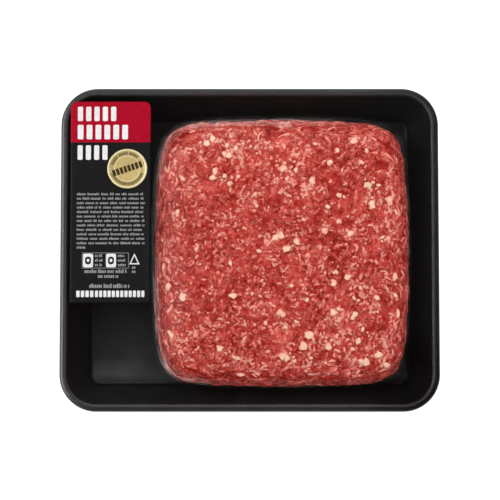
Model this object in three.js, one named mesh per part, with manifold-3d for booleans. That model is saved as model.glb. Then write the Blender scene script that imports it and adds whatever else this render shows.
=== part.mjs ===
// A sealed meat tray pack: a black tray with a rolled rim, a pressed block of ground beef standing a
// little proud of it, a clear film sealed to the rim and shrunk tight over the block, a printed label on
// the film at the left, and a round foil seal on the label.
// Millimetres, +Z up. The origin is the centre of the base, on the surface that the tray stands on.
// +X is the right of the pack as its label is read, and +Y is its top edge.
import * as THREE from "three";
import { mergeVertices } from "three/addons/utils/BufferGeometryUtils.js";
import Module from "manifold-3d";

const wasm = await Module();
wasm.setup();

// Driving dimensions of the tray
const TRAY_WIDTH = 240;
const TRAY_DEPTH = 205.4;
const TRAY_HEIGHT = 30;
const TRAY_CORNER_RADIUS = 23.5;
const FLOOR_THICKNESS = 3.5;
const FLOOR_INSET = 20;
const FLOOR_FILLET = 3;
const FLOOR_CORNER_RADIUS = 3.5;
const BASE_INSET = 17.5;
const BASE_FILLET = 2.6;
const FOOT_WIDTH = 9;
const FOOT_BEVEL = 1.5;
const FOOT_RECESS = 1;
const WALL_THICKNESS = 3.2;
const FLANGE_INSET = 3.3;
const RIM_WIDTH = 5.4;
const RIM_ROUND = 2.6;
const RIM_INNER_ROUND = 2.2;
const RIM_ROOT_FILLET = 1.6;
const RIM_LIP_DEPTH = 4;
const RIM_LIP_ROUND = 0.8;
const CORNER_STEPS = 8;

// Driving dimensions of the block of meat
const BEEF_CENTRE = new THREE.Vector2(20.4, -2);
const BEEF_HALF_WIDTH = 81.5;
const BEEF_HALF_DEPTH = 85.4;
const BEEF_WAIST_HEIGHT = 20;
const BEEF_TOP_HEIGHT = 46;
const BEEF_LOWER_REACH = 21;
const BEEF_OUTLINE_POWER = 9;
const BEEF_SIDE_BULGE = 0.065;
const BEEF_END_BULGE = 0.043;
const BEEF_SHOULDER_POWER = 3.2;
const BEEF_GRID = [34, 36, 9];
const LUMP_DEPTH = 2;
const LUMP_SIZE = 9.5;
const FINE_LUMP_SIZE = 5.2;
const CREASE_SHARE = 0.55;

// Driving dimensions of the film, the label and the seal
const TOUCH_GAP = 0.3;
const FILM_THICKNESS = 0.4;
const FILM_CLEARANCE = 1;
const FILM_FLARE = 3.4;
const FILM_EDGE_INSET = 1.9;
const FILM_SPACING = 9;
const LABEL_LEFT = -113.6;
const LABEL_RIGHT = -62.9;
const LABEL_TOP = 93.8;
const LABEL_BOTTOM = -34.4;
const LABEL_CORNER_RADIUS = 4;
const LABEL_THICKNESS = 0.3;
const LABEL_GAP = 0.5;
const SEAL_CENTRE = new THREE.Vector2(-77.6, 50.9);
const SEAL_RADIUS = 12.6;
const SEAL_THICKNESS = 0.3;

const MATERIALS = {
  tray: new THREE.MeshStandardMaterial({ color: 0x141414, roughness: 0.42, metalness: 0 }),
  ground_beef: new THREE.MeshStandardMaterial({ color: 0xbf554c, roughness: 0.5, metalness: 0 }),
  film: new THREE.MeshStandardMaterial({
    color: 0xf2f5f7,
    roughness: 0.08,
    metalness: 0,
    transparent: true,
    opacity: 0.18,
  }),
  label: new THREE.MeshStandardMaterial({ color: 0x202020, roughness: 0.6, metalness: 0 }),
  seal: new THREE.MeshStandardMaterial({ color: 0xc6b17a, roughness: 0.4, metalness: 0.3 }),
};

// Points anticlockwise round a rounded rectangle that lies inset from the tray's outer edge. Its straight
// sides have points about a spacing apart.
function trayOutline(inset, spacing = Infinity) {
  const halfWidth = TRAY_WIDTH / 2 - inset;
  const halfDepth = TRAY_DEPTH / 2 - inset;
  const radius = Math.max(TRAY_CORNER_RADIUS - inset, FLOOR_CORNER_RADIUS);
  const corners = [
    [halfWidth - radius, halfDepth - radius, 0],
    [radius - halfWidth, halfDepth - radius, Math.PI / 2],
    [radius - halfWidth, radius - halfDepth, Math.PI],
    [halfWidth - radius, radius - halfDepth, 1.5 * Math.PI],
  ];
  const points = [];
  corners.forEach(([x, y, start], index) => {
    for (let step = 0; step <= CORNER_STEPS; step++) {
      const angle = start + (step / CORNER_STEPS) * (Math.PI / 2);
      points.push(new THREE.Vector2(x + radius * Math.cos(angle), y + radius * Math.sin(angle)));
    }
    const [nextX, nextY, nextStart] = corners[(index + 1) % corners.length];
    const last = points[points.length - 1];
    const next = new THREE.Vector2(
      nextX + radius * Math.cos(nextStart),
      nextY + radius * Math.sin(nextStart),
    );
    const sideSteps = Math.round(last.distanceTo(next) / spacing);
    for (let step = 1; step < sideSteps; step++) points.push(last.clone().lerp(next, step / sideSteps));
  });
  return points;
}

// One closed surface through rings of equal length, from a point on the axis to another point.
// Anticlockwise rings that run outwards below and inwards above face out.
function loft(first, rings, last) {
  const positions = [first, ...rings.flat(), last].flatMap((point) => [point.x, point.y, point.z]);
  const size = rings[0].length;
  const lastIndex = 1 + rings.length * size;
  const at = (ring, step) => 1 + ring * size + (step % size);
  const index = [];
  for (let step = 0; step < size; step++) {
    index.push(0, at(0, step + 1), at(0, step));
    for (let ring = 0; ring + 1 < rings.length; ring++) {
      index.push(at(ring, step), at(ring, step + 1), at(ring + 1, step + 1));
      index.push(at(ring, step), at(ring + 1, step + 1), at(ring + 1, step));
    }
    index.push(at(rings.length - 1, step), at(rings.length - 1, step + 1), lastIndex);
  }
  const geometry = new THREE.BufferGeometry();
  geometry.setAttribute("position", new THREE.Float32BufferAttribute(positions, 3));
  geometry.setIndex(index);
  return geometry;
}

// Points along a quarter of an ellipse from start to end, as [inset, height] pairs. It leaves start along
// the direction of leaving: "across" for level and "up" for upright.
function quarterRound(start, end, steps, leaving) {
  const points = [];
  for (let step = 1; step < steps; step++) {
    const angle = (step / steps) * (Math.PI / 2);
    const across = leaving === "across" ? Math.sin(angle) : 1 - Math.cos(angle);
    const up = leaving === "across" ? 1 - Math.cos(angle) : Math.sin(angle);
    points.push([start[0] + (end[0] - start[0]) * across, start[1] + (end[1] - start[1]) * up]);
  }
  return [start, ...points, end];
}

// The tray's cross-section, as [inset from the outer edge, height], from the recess under the base, up
// the outside, over the rolled rim and down the inside to the floor.
function traySection() {
  const rimUnderside = TRAY_HEIGHT - RIM_LIP_DEPTH;
  const wallTop = RIM_WIDTH - WALL_THICKNESS;
  const floorEdge = FLOOR_INSET - FLOOR_FILLET;
  const baseEdge = BASE_INSET + BASE_FILLET / 2;
  return [
    [BASE_INSET + FOOT_WIDTH + FOOT_BEVEL, FOOT_RECESS],
    [BASE_INSET + FOOT_WIDTH, 0],
    ...quarterRound([baseEdge, 0], [baseEdge - BASE_FILLET, BASE_FILLET], 3, "across"),
    ...quarterRound(
      [wallTop + RIM_ROOT_FILLET / 2, rimUnderside - RIM_ROOT_FILLET],
      [wallTop - RIM_ROOT_FILLET / 2, rimUnderside],
      3,
      "up",
    ),
    ...quarterRound([RIM_LIP_ROUND, rimUnderside], [0, rimUnderside + RIM_LIP_ROUND], 2, "across"),
    ...quarterRound([0, TRAY_HEIGHT - RIM_ROUND], [RIM_ROUND, TRAY_HEIGHT], 4, "up"),
    ...quarterRound([FLANGE_INSET, TRAY_HEIGHT], [RIM_WIDTH, TRAY_HEIGHT - RIM_INNER_ROUND], 4, "across"),
    ...quarterRound([floorEdge, FLOOR_THICKNESS + FLOOR_FILLET], [FLOOR_INSET, FLOOR_THICKNESS], 3, "up"),
  ];
}

function trayGeometry() {
  const rings = traySection().map(([inset, height]) =>
    trayOutline(inset).map((point) => new THREE.Vector3(point.x, point.y, height)),
  );
  return loft(new THREE.Vector3(0, 0, FOOT_RECESS), rings, new THREE.Vector3(0, 0, FLOOR_THICKNESS));
}

// 0 at the block's centre and 1 on its outline, a square with bulging sides and round corners.
function beefShare(x, y) {
  const across = (x - BEEF_CENTRE.x) / BEEF_HALF_WIDTH;
  const along = (y - BEEF_CENTRE.y) / BEEF_HALF_DEPTH;
  const width = 1 - BEEF_SIDE_BULGE * Math.min(along ** 2, 1);
  const depth = 1 - BEEF_END_BULGE * Math.min(across ** 2, 1);
  const outline =
    Math.abs(across / width) ** BEEF_OUTLINE_POWER + Math.abs(along / depth) ** BEEF_OUTLINE_POWER;
  return outline ** (1 / BEEF_OUTLINE_POWER);
}

// Height of the block's smooth upper surface, which its lumps stay under.
function beefHeight(x, y) {
  const share = Math.min(beefShare(x, y), 1);
  const rise = BEEF_TOP_HEIGHT - BEEF_WAIST_HEIGHT;
  return BEEF_WAIST_HEIGHT + rise * (1 - share ** BEEF_SHOULDER_POWER) ** (1 / BEEF_SHOULDER_POWER);
}

// A repeatable number from 0 to 1 for a point of a whole-number grid.
function gridNoise(i, j, k) {
  const value = Math.sin(i * 127.1 + j * 311.7 + k * 74.7) * 43758.5453;
  return value - Math.floor(value);
}

// Smooth noise from 0 to 1 with lumps as wide as size.
function smoothNoise(point, size) {
  const scaled = point.clone().divideScalar(size);
  const cell = scaled.clone().floor();
  const share = scaled.sub(cell).toArray();
  const [u, v, w] = share.map((t) => t * t * (3 - 2 * t));
  let sum = 0;
  for (const [i, a] of [[0, 1 - u], [1, u]])
    for (const [j, b] of [[0, 1 - v], [1, v]])
      for (const [k, c] of [[0, 1 - w], [1, w]])
        sum += a * b * c * gridNoise(cell.x + i, cell.y + j, cell.z + k);
  return sum;
}

// How far the crumbled surface lies under the smooth one: short rounded ridges with creases between.
function lumpDrop(point) {
  const elsewhere = point.clone().addScalar(TRAY_WIDTH);
  const crease = Math.abs(2 * smoothNoise(point, LUMP_SIZE) - 1);
  const bump = smoothNoise(elsewhere, FINE_LUMP_SIZE);
  return LUMP_DEPTH * (CREASE_SHARE * crease + (1 - CREASE_SHARE) * bump);
}

// Draws a square outline's corners in, so that its sides bulge between them.
function drawCornersIn(point) {
  const { x, y } = point;
  const rounds = 6;
  for (let round = 0; round < rounds; round++) {
    point.x = x * (1 - BEEF_SIDE_BULGE * point.y ** 2);
    point.y = y * (1 - BEEF_END_BULGE * point.x ** 2);
  }
}

// The block: a cube's grid pushed out to the smooth pillow, then let down into lumps.
function beefGeometry() {
  const geometry = new THREE.BoxGeometry(2, 2, 2, ...BEEF_GRID);
  const position = geometry.attributes.position;
  const point = new THREE.Vector3();
  const centre = new THREE.Vector3(BEEF_CENTRE.x, BEEF_CENTRE.y, BEEF_WAIST_HEIGHT);
  for (let index = 0; index < position.count; index++) {
    point.fromBufferAttribute(position, index);
    const reach = new THREE.Vector3(
      BEEF_HALF_WIDTH,
      BEEF_HALF_DEPTH,
      point.z > 0 ? BEEF_TOP_HEIGHT - BEEF_WAIST_HEIGHT : BEEF_LOWER_REACH,
    );
    const outline =
      Math.abs(point.x) ** BEEF_OUTLINE_POWER + Math.abs(point.y) ** BEEF_OUTLINE_POWER;
    const size =
      outline ** (BEEF_SHOULDER_POWER / BEEF_OUTLINE_POWER) + Math.abs(point.z) ** BEEF_SHOULDER_POWER;
    point.divideScalar(size ** (1 / BEEF_SHOULDER_POWER));
    const outward = new THREE.Vector3(point.x ** 3, point.y ** 3, point.z * Math.abs(point.z));
    outward.divide(reach).normalize();
    drawCornersIn(point);
    point.multiply(reach).add(centre);
    point.addScaledVector(outward, -lumpDrop(point));
    position.setXYZ(index, point.x, point.y, point.z);
  }
  return geometry;
}

// A closed three.js geometry as a manifold-3d solid, and back.
function toSolid(geometry) {
  const bare = geometry.clone();
  bare.deleteAttribute("normal");
  bare.deleteAttribute("uv");
  const merged = mergeVertices(bare, 1e-4);
  return new wasm.Manifold(
    new wasm.Mesh({
      numProp: 3,
      vertProperties: merged.attributes.position.array,
      triVerts: new Uint32Array(merged.index.array),
    }),
  );
}

function toGeometry(solid) {
  const { vertProperties, triVerts } = solid.getMesh();
  const geometry = new THREE.BufferGeometry();
  geometry.setAttribute("position", new THREE.BufferAttribute(vertProperties, 3));
  geometry.setIndex(new THREE.BufferAttribute(triVerts, 1));
  return geometry;
}

// The block rests on the tray's floor, so its underside is cut flat there.
function restingBeefGeometry() {
  const bottom = FLOOR_THICKNESS + TOUCH_GAP;
  const below = new THREE.BoxGeometry(TRAY_WIDTH, TRAY_DEPTH, TRAY_WIDTH);
  below.translate(0, 0, bottom - TRAY_WIDTH / 2);
  return toGeometry(toSolid(beefGeometry()).subtract(toSolid(below)));
}

// The film's underside along a ray from the block's centre to a point on the rim's flange. It clings to
// the block down to where the slope lets it go, and from there it flares out, falling off to the
// flange's level within a few times the flare length.
function filmRay(rimPoint) {
  const reach = rimPoint.distanceTo(BEEF_CENTRE);
  const direction = rimPoint.clone().sub(BEEF_CENTRE).divideScalar(reach);
  const edgeHeight = TRAY_HEIGHT + TOUCH_GAP;
  const onBeef = (radius) => {
    const point = direction.clone().multiplyScalar(radius).add(BEEF_CENTRE);
    return beefHeight(point.x, point.y) + FILM_CLEARANCE;
  };
  const step = 0.25;
  let leave = 0;
  while ((FILM_FLARE * (onBeef(leave) - onBeef(leave + step))) / step < onBeef(leave) - edgeHeight)
    leave += step;
  const rise = onBeef(leave) - edgeHeight;
  const left = Math.exp((leave - reach) / FILM_FLARE);
  const flare = (radius) => (Math.exp((leave - radius) / FILM_FLARE) - left) / (1 - left);
  const height = (radius) => (radius < leave ? onBeef(radius) : edgeHeight + rise * flare(radius));
  return { direction, reach, leave, height };
}

// Where a ray from the block's centre through a point crosses the flange's inner edge.
function flangePoint(x, y) {
  const flange = trayOutline(FLANGE_INSET, FILM_SPACING);
  const heading = Math.atan2(y - BEEF_CENTRE.y, x - BEEF_CENTRE.x);
  const turn = (point) => {
    const away = Math.atan2(point.y - BEEF_CENTRE.y, point.x - BEEF_CENTRE.x) - heading;
    return Math.atan2(Math.sin(away), Math.cos(away));
  };
  for (let index = 0; index < flange.length; index++) {
    const from = turn(flange[index]);
    const to = turn(flange[(index + 1) % flange.length]);
    if (from > 0 || to <= 0 || to - from > Math.PI) continue;
    return flange[index].clone().lerp(flange[(index + 1) % flange.length], from / (from - to));
  }
  throw new Error("no flange edge in that direction");
}

// Height of the film's upper face over a point of the pack.
function filmTop(x, y) {
  const ray = filmRay(flangePoint(x, y));
  const radius = Math.min(Math.hypot(x - BEEF_CENTRE.x, y - BEEF_CENTRE.y), ray.reach);
  return ray.height(radius) + FILM_THICKNESS;
}

// The film: rings from the block's middle out to the flange, on an upper and a lower face.
function filmGeometry() {
  const contactShares = [0.4, 0.7, 0.87, 0.95, 1];
  const spanRings = 6;
  const spanShares = Array.from({ length: spanRings }, (_, ring) => ((ring + 1) / spanRings) ** 2);
  const rays = trayOutline(FLANGE_INSET, FILM_SPACING).map(filmRay);
  const ring = (radiusOf) =>
    rays.map((ray) => {
      const radius = radiusOf(ray);
      const point = ray.direction.clone().multiplyScalar(radius).add(BEEF_CENTRE);
      return new THREE.Vector3(point.x, point.y, ray.height(radius));
    });
  const edge = trayOutline(FILM_EDGE_INSET, FILM_SPACING).map(
    (point) => new THREE.Vector3(point.x, point.y, TRAY_HEIGHT + TOUCH_GAP),
  );
  const lower = [
    ...contactShares.map((share) => ring((ray) => ray.leave * share)),
    ...spanShares.map((share) => ring((ray) => ray.leave + (ray.reach - ray.leave) * share)),
    edge,
  ];
  const raised = (point) => point.clone().setZ(point.z + FILM_THICKNESS);
  const upper = lower.map((points) => points.map(raised)).reverse();
  const middle = new THREE.Vector3(BEEF_CENTRE.x, BEEF_CENTRE.y, BEEF_TOP_HEIGHT + FILM_CLEARANCE);
  return loft(middle, [...lower, ...upper], raised(middle));
}

// A thin closed plate over a grid of rows, each row a list of points left to right, bottom row first.
function plate(rows, thickness) {
  const width = rows[0].length;
  const lower = rows.flat();
  const upper = lower.map((point) => point.clone().setZ(point.z + thickness));
  const at = (row, column) => row * width + column;
  const index = [];
  const quad = (a, b, c, d) => index.push(a, b, c, a, c, d);
  for (let row = 0; row + 1 < rows.length; row++)
    for (let column = 0; column + 1 < width; column++) {
      const around = [at(row, column), at(row, column + 1), at(row + 1, column + 1), at(row + 1, column)];
      quad(...around.map((vertex) => vertex + lower.length));
      quad(...around.reverse());
    }
  const border = [
    ...rows[0].map((_, column) => at(0, column)),
    ...rows.slice(1, -1).map((_, row) => at(row + 1, width - 1)),
    ...rows[0].map((_, column) => at(rows.length - 1, width - 1 - column)),
    ...rows.slice(1, -1).map((_, row) => at(rows.length - 2 - row, 0)),
  ];
  border.forEach((vertex, step) => {
    const next = border[(step + 1) % border.length];
    quad(vertex, next, next + lower.length, vertex + lower.length);
  });
  const geometry = new THREE.BufferGeometry();
  const positions = [...lower, ...upper].flatMap((point) => [point.x, point.y, point.z]);
  geometry.setAttribute("position", new THREE.Float32BufferAttribute(positions, 3));
  geometry.setIndex(index);
  return geometry;
}

// The label lies on the film, and its two upper corners are round.
function labelGeometry() {
  const columns = 6;
  const straightRows = 12;
  const cornerRows = 4;
  const arcFoot = LABEL_TOP - LABEL_CORNER_RADIUS;
  const heights = [];
  for (let row = 0; row < straightRows; row++)
    heights.push(LABEL_BOTTOM + ((arcFoot - LABEL_BOTTOM) * row) / straightRows);
  for (let row = 0; row <= cornerRows; row++)
    heights.push(arcFoot + LABEL_CORNER_RADIUS * Math.sin((row / cornerRows) * (Math.PI / 2)));
  const rows = heights.map((y) => {
    const above = Math.max(y - arcFoot, 0);
    const cut = LABEL_CORNER_RADIUS - Math.sqrt(LABEL_CORNER_RADIUS ** 2 - above ** 2);
    const left = LABEL_LEFT + cut;
    const right = LABEL_RIGHT - cut;
    return Array.from({ length: columns + 1 }, (_, column) => {
      const x = left + ((right - left) * column) / columns;
      return new THREE.Vector3(x, y, filmTop(x, y) + LABEL_GAP);
    });
  });
  return plate(rows, LABEL_THICKNESS);
}

// The round seal lies on the label.
function sealGeometry() {
  const around = 40;
  const gap = LABEL_GAP + LABEL_THICKNESS + LABEL_GAP;
  const place = (x, y, lift) => new THREE.Vector3(x, y, filmTop(x, y) + gap + lift);
  const ring = (radius, lift) =>
    Array.from({ length: around }, (_, step) => {
      const angle = (2 * Math.PI * step) / around;
      const x = SEAL_CENTRE.x + radius * Math.cos(angle);
      return place(x, SEAL_CENTRE.y + radius * Math.sin(angle), lift);
    });
  const inner = SEAL_RADIUS / 2;
  return loft(
    place(SEAL_CENTRE.x, SEAL_CENTRE.y, 0),
    [ring(inner, 0), ring(SEAL_RADIUS, 0), ring(SEAL_RADIUS, SEAL_THICKNESS), ring(inner, SEAL_THICKNESS)],
    place(SEAL_CENTRE.x, SEAL_CENTRE.y, SEAL_THICKNESS),
  );
}

function part(name, geometry) {
  const mesh = new THREE.Mesh(geometry, MATERIALS[name]);
  mesh.name = name;
  mesh.geometry.computeVertexNormals();
  return mesh;
}

const pack = new THREE.Group();
pack.add(part("tray", trayGeometry()));
pack.add(part("ground_beef", restingBeefGeometry()));
pack.add(part("film", filmGeometry()));
pack.add(part("label", labelGeometry()));
pack.add(part("seal", sealGeometry()));

export default pack;
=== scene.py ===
import itertools
import math

import bpy
import numpy as np
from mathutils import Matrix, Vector


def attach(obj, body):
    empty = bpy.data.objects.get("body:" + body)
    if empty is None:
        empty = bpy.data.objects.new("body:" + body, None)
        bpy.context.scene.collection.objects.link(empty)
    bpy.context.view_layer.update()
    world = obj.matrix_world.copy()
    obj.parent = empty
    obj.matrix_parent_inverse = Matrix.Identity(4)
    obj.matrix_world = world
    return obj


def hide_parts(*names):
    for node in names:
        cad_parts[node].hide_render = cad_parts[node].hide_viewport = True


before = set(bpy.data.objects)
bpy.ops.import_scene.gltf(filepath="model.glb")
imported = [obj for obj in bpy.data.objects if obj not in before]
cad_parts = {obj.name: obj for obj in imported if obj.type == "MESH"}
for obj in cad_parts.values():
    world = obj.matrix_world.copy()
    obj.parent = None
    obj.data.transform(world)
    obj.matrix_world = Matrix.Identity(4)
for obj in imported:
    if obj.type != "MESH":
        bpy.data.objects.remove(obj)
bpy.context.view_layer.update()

MM = 0.001
QUARTERS = np.array([(1, 1), (-1, 1), (-1, -1), (1, -1)])

# The photograph's view
FRAME_WIDTH = 316.2
VIEW_DISTANCE = 1230
VIEW_ELEVATION = 85.2
VIEW_AIM = (0.2, -0.7, 30.0)
SENSOR_WIDTH = 36

# The tray
TRAY_HALF = np.array([120.0, 102.7])
TRAY_HEIGHT = 30.0
TRAY_CORNER_RADIUS = 23.5
FLOOR_THICKNESS = 3.5
FLOOR_INSET = 20.0
FLOOR_FILLET = 3.0
FLOOR_CORNER_RADIUS = 3.5
BASE_INSET = 17.5
BASE_FILLET = 2.6
FOOT_WIDTH = 9.0
FOOT_BEVEL = 1.5
FOOT_RECESS = 1.0
WALL_THICKNESS = 3.2
FLANGE_INSET = 3.3
RIM_WIDTH = 5.4
RIM_ROUND = 2.6
RIM_INNER_ROUND = 2.2
RIM_ROOT_FILLET = 1.6
RIM_LIP_DEPTH = 4.0
RIM_LIP_ROUND = 0.8

# The block of meat
BEEF_CENTRE = np.array([20.4, -2.0, 20.0])
BEEF_HALF = np.array([81.5, 85.4])
BEEF_RISE = 26.0
BEEF_LOWER_REACH = 21.0
BEEF_BOTTOM = 3.8
OUTLINE_POWER = 9.0
SIDE_BULGE = np.array([0.065, 0.043])
SHOULDER_POWER = 3.2

# The film, the label and the seal
FILM_FLARE = 3.4
FILM_CLEARANCE = 0.35
FILM_THICKNESS = 0.08
FLANGE_HEIGHT = 30.3
FILM_EDGE_INSET = 1.9
LABEL_LEFT = -113.6
LABEL_RIGHT = -62.9
LABEL_TOP = 93.8
LABEL_BOTTOM = -34.4
LABEL_HEAD_BOTTOM = 67.8
LABEL_CORNER_RADIUS = 4.0
LABEL_LIFT = 0.75
LABEL_THICKNESS = 0.3
SEAL_CENTRE = np.array([-77.6, 50.9])
SEAL_RADIUS = 12.6


# Meshes

def new_piece(name, points, faces, materials, face_materials=None, smooth=True, **attributes):
    """A mesh object from points in millimetres and faces, with named numbers on its points."""
    mesh = bpy.data.meshes.new(name)
    counts = np.concatenate([np.full(len(group), group.shape[1]) for group in faces])
    corners = np.concatenate([group.ravel() for group in faces]).astype(np.int32)
    starts = np.concatenate([[0], np.cumsum(counts)[:-1]]).astype(np.int32)
    mesh.vertices.add(len(points))
    mesh.vertices.foreach_set("co", (np.asarray(points) * MM).astype(np.float32).ravel())
    mesh.loops.add(len(corners))
    mesh.loops.foreach_set("vertex_index", corners)
    mesh.polygons.add(len(counts))
    mesh.polygons.foreach_set("loop_start", starts)
    for key, values in attributes.items():
        layer = mesh.attributes.new(key, "FLOAT", "POINT")
        layer.data.foreach_set("value", np.asarray(values, np.float32))
    for material in materials:
        mesh.materials.append(material)
    if face_materials is not None:
        mesh.polygons.foreach_set("material_index", np.asarray(face_materials, np.int32))
    mesh.polygons.foreach_set("use_smooth", np.full(len(counts), smooth))
    mesh.update(calc_edges=True)
    piece = bpy.data.objects.new(name, mesh)
    bpy.context.scene.collection.objects.link(piece)
    return piece


def place(piece, slot, *nodes):
    """Ties a piece to the pack's one body and hides the imported solids that it stands for; the slot, its
    finish, is not used.
    """
    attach(piece, "root")
    if nodes:
        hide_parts(*nodes)


def unit(vectors):
    """The same directions at length 1."""
    return vectors / np.linalg.norm(vectors, axis=-1, keepdims=True)


def ring_faces(rings, around):
    """Quads between neighbouring rings of equal length."""
    ring = np.arange(rings * around).reshape(rings, around)
    after = np.roll(ring, -1, axis=1)
    return np.stack([ring[:-1], after[:-1], after[1:], ring[1:]], axis=-1).reshape(-1, 4)


def end_caps(centre, last_start, around):
    """Triangles that close the first ring round one point and the last ring round the next."""
    step = np.arange(around)
    after = np.roll(step, -1)
    first = np.stack([np.full(around, centre), after, step], axis=1)
    last = np.stack([np.full(around, centre + 1), last_start + step, last_start + after], axis=1)
    return np.concatenate([first, last])


def grid_faces(index):
    """Quads between the points of a grid."""
    return np.stack([index[:-1, :-1], index[:-1, 1:], index[1:, 1:], index[1:, :-1]], -1).reshape(-1, 4)


def grid_border(index):
    """The points round a grid's edge, in order."""
    return np.concatenate([index[0, :-1], index[:-1, -1], index[-1, :0:-1], index[:0:-1, 0]])


# Noise

HASH_PRIMES = np.array([73856093, 19349663, 83492791], np.int64)


def hashed(cells, seed):
    """A repeatable number from -1 to 1 for each whole-number cell."""
    mixed = (cells * HASH_PRIMES).sum(axis=-1) + seed * 977
    mixed = (mixed ^ (mixed >> 15)) * 668265263 & 0x7FFFFFFF
    mixed = (mixed ^ (mixed >> 13)) * 374761393 & 0x7FFFFFFF
    return (mixed ^ (mixed >> 16)) % 65536 / 32767.5 - 1


def noise(points, size, seed):
    """Smooth noise from -1 to 1, with lumps about as wide as size."""
    scaled = np.asarray(points) / size
    cell = np.floor(scaled).astype(np.int64)
    share = scaled - cell
    share = share * share * (3 - 2 * share)
    total = np.zeros(len(scaled))
    for corner in itertools.product((0, 1), repeat=3):
        weight = np.prod(np.where(np.array(corner) == 1, share, 1 - share), axis=1)
        total += weight * hashed(cell + np.array(corner), seed)
    return total


# The block's surface

def outline_share(flat):
    """0 at the block's middle and 1 on its outline, a square whose sides bulge between tight corners."""
    share = np.abs(flat - BEEF_CENTRE[:2]) / BEEF_HALF
    narrowing = 1 - SIDE_BULGE * np.minimum(share[:, ::-1] ** 2, 1)
    return ((share / narrowing) ** OUTLINE_POWER).sum(axis=1) ** (1 / OUTLINE_POWER)


def beef_share(points):
    """1 on the block's smooth surface, less inside it and more outside."""
    height = points[:, 2] - BEEF_CENTRE[2]
    share = np.abs(height) / np.where(height > 0, BEEF_RISE, BEEF_LOWER_REACH)
    return (outline_share(points[:, :2]) ** SHOULDER_POWER + share ** SHOULDER_POWER) ** (1 / SHOULDER_POWER)


def beef_field(points):
    """How far each point lies outside the block's smooth surface, about in millimetres, and the way out."""
    nudge = 0.02
    slope = np.stack([beef_share(points + step) - beef_share(points - step) for step in np.eye(3) * nudge], 1)
    steepness = np.linalg.norm(slope, axis=1)
    return (beef_share(points) - 1) / steepness * 2 * nudge, slope / steepness[:, None]


def onto_beef(points, rounds=2):
    """The nearest points of the block's smooth surface, near enough, and the way out at each."""
    for _ in range(rounds):
        gap, out = beef_field(points)
        points = points - gap[:, None] * out
    return points, beef_field(points)[1]


def lump_depth(points):
    """How far the crumbled surface lies under the smooth one."""
    crease = np.abs(noise(points, 9.5, 1))
    return 0.95 * (1 - crease) ** 3 + 0.35 * (1 + noise(points, 5.2, 2))


def bareness(points):
    """Up to 0.75 where a smooth patch of lean lies bare between the strands, and 0 elsewhere."""
    return 0.75 * np.clip((noise(points, 7.5, 31) - 0.38) / 0.16, 0, 1)


def side_shade(points):
    """0 over the block's top, rising to 1 at its outline: the share of painted shade that darkens the meat
    there, least on the head side, which faces the light.
    """
    head = np.clip(((points[:, 1] - BEEF_CENTRE[1]) / BEEF_HALF[1] - 0.75) / 0.2, 0, 1)
    return np.clip((outline_share(points[:, :2]) - 0.87) / 0.1, 0, 1) * (1 - 0.7 * head)


def beef_shell(columns, rows, side_rows):
    """A cube's top and sides pushed out to the block's smooth surface, with its quads."""
    across = np.linspace(-1, 1, columns + 1)
    along = np.linspace(-1, 1, rows + 1)
    grid_y, grid_x = np.meshgrid(along, across, indexing="ij")
    top = np.stack([grid_x.ravel(), grid_y.ravel(), np.ones(grid_x.size)], axis=1)
    index = np.arange(grid_x.size).reshape(rows + 1, columns + 1)
    quads = [grid_faces(index)]
    border = grid_border(index)
    around = len(border)
    sides = [top[border] * [1, 1, level] for level in np.linspace(1, -1, side_rows + 1)[1:]]
    chains = np.vstack([border[None, :], len(top) + np.arange(side_rows * around).reshape(side_rows, around)])
    after = np.roll(chains, -1, axis=1)
    quads.append(np.stack([chains[1:], after[1:], after[:-1], chains[:-1]], axis=-1).reshape(-1, 4))
    unit = np.vstack([top, *sides])
    outline = (np.abs(unit[:, :2]) ** OUTLINE_POWER).sum(axis=1)
    total = outline ** (SHOULDER_POWER / OUTLINE_POWER) + np.abs(unit[:, 2]) ** SHOULDER_POWER
    unit = unit / (total ** (1 / SHOULDER_POWER))[:, None]
    square = unit[:, :2].copy()
    for _ in range(6):
        unit[:, :2] = square * (1 - SIDE_BULGE * unit[:, 1::-1] ** 2)
    reach = np.empty_like(unit)
    reach[:, :2] = BEEF_HALF
    reach[:, 2] = np.where(unit[:, 2] > 0, BEEF_RISE, BEEF_LOWER_REACH)
    return BEEF_CENTRE + unit * reach, quads, chains[-1]


def scattered(rng, count, lowest):
    """Points spread evenly over the block's smooth surface above a height, and the way out at each."""
    points, quads, _ = beef_shell(60, 62, 24)
    faces = np.concatenate(quads)
    corners = points[faces]
    area = np.linalg.norm(np.cross(corners[:, 2] - corners[:, 0], corners[:, 3] - corners[:, 1]), axis=1)
    area[corners[:, :, 2].mean(axis=1) < lowest] = 0
    chosen = rng.choice(len(faces), count, p=area / area.sum())
    u, v = rng.random((2, count, 1))
    quad = corners[chosen]
    spots = (quad[:, 0] * (1 - u) + quad[:, 1] * u) * (1 - v) + (quad[:, 3] * (1 - u) + quad[:, 2] * u) * v
    return onto_beef(spots)


def gathered(rng, count, lowest, centres, share, spread):
    """Points over the block's surface, a share of them close to given centres, and the way out at each."""
    spots, _ = scattered(rng, count, lowest)
    close = centres[rng.integers(len(centres), size=count)] + rng.normal(0, spread, (count, 3))
    chosen = rng.random((count, 1)) < share
    return onto_beef(np.where(chosen, close, spots), rounds=4)


def press_in(points, depth):
    """Presses what stands out of the block's surface down to a depth under it."""
    gap, out = beef_field(points)
    return points - np.maximum(gap + depth, 0)[:, None] * out


# Meat

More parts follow.
